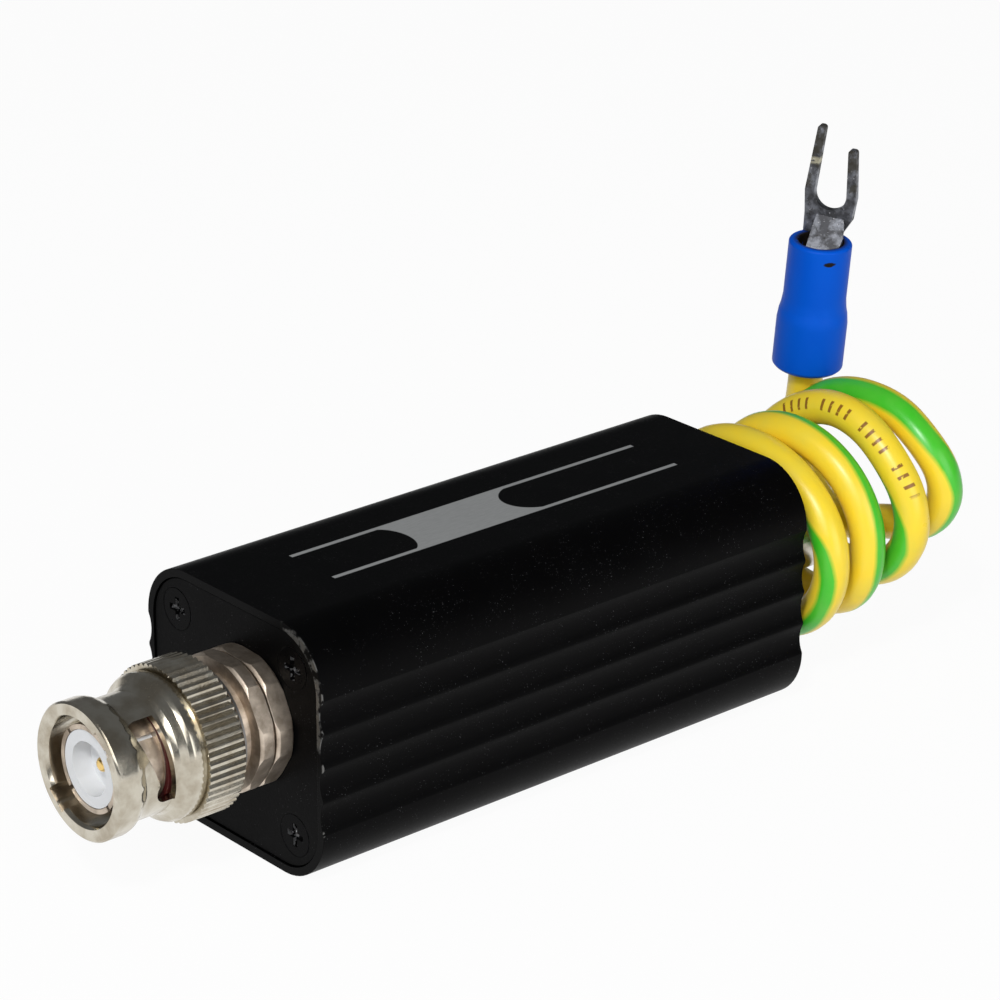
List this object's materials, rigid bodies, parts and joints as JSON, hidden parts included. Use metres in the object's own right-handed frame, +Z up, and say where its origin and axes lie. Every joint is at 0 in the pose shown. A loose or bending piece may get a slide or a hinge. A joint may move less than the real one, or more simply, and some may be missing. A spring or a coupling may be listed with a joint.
{
  "type": "video surge protector",
  "caption": "In-line coaxial surge protector: fluted black box with a bayonet plug, a bayonet jack and a coiled earth wire ending in a blue fork terminal.",
  "frame": {"origin": "on the surface that the housing lies on, below the middle of the box round the rigid part (housing, plug and jack, without the earth wire)", "axes": "+Z up, -Y out of the plug's mouth, +Y out of the jack's mouth, +X to the right of the plug seen from its mouth's side"},
  "size_m": [0.0288, 0.0974, 0.0517],
  "materials": {
    "black_anodised": "satin black anodised, fine grain",
    "nickel_plate": "nickel plated brass, slightly worn",
    "knurled_nickel": "nickel plated brass, knurled",
    "gold_contact": "gold plated",
    "white_insulator": "matt white",
    "red_gasket": "dark red silicone rubber",
    "spring_steel": "spring steel",
    "black_steel": "black oxide",
    "zinc_hardware": "zinc plated",
    "black_rubber": "matt black rubber",
    "wire_insulation": "green and yellow striped sheath",
    "blue_sleeve": "blue, slightly glossy",
    "tinned_copper": "tinned copper, stained",
    "board": "green laminate",
    "ceramic": "glazed ceramic",
    "component_black": "moulded black",
    "resistor_coat": "blue grey lacquer",
    "bare_copper": "bare copper"
  },
  "bodies": {
    "housing": {"housing_shell": "black_anodised", "front_plate": "black_anodised", "rear_plate": "black_anodised", "front_plate_screws": "black_steel", "rear_plate_screws": "black_steel", "plug_body": "nickel_plate", "plug_panel_nut": "nickel_plate", "plug_lock_washer": "zinc_hardware", "plug_inner_nut": "nickel_plate", "plug_insulator": "white_insulator", "plug_centre_pin": "gold_contact", "plug_gasket": "red_gasket", "plug_spring_washer": "spring_steel", "plug_retaining_ring": "spring_steel", "jack_body": "nickel_plate", "jack_insulator": "white_insulator", "jack_centre_contact": "gold_contact", "jack_lock_washer": "zinc_hardware", "earth_tag": "tinned_copper", "jack_nut": "nickel_plate", "wire_grommet": "black_rubber", "earth_wire_lead": "wire_insulation", "earth_wire_coil": "wire_insulation", "earth_wire_tail": "wire_insulation", "terminal_sleeve": "blue_sleeve", "fork_terminal": "tinned_copper", "circuit_board": "board", "gas_discharge_tube": "ceramic", "suppressor_diodes": "component_black", "series_resistors": "resistor_coat", "front_signal_lead": "bare_copper", "rear_signal_lead": "bare_copper", "inner_earth_lead": "bare_copper"},
    "thrust_washer": {"thrust_washer": "nickel_plate"},
    "coupling_sleeve": {"coupling_sleeve": "knurled_nickel"}
  },
  "joints": [
    {"name": "coupling_slide", "type": "slide", "parent": "housing", "child": "thrust_washer", "axis": [0, -1, 0], "range_m": [0, 0.001], "stiffness_N_per_m": 500, "springref_m": -0.001, "deforming": ["plug_spring_washer"]},
    {"name": "coupling_turn", "type": "hinge", "parent": "thrust_washer", "child": "coupling_sleeve", "pos_m": [0.0022, -0.03717, 0.01395], "axis": [0, -1, 0], "continuous": true}
  ]
}
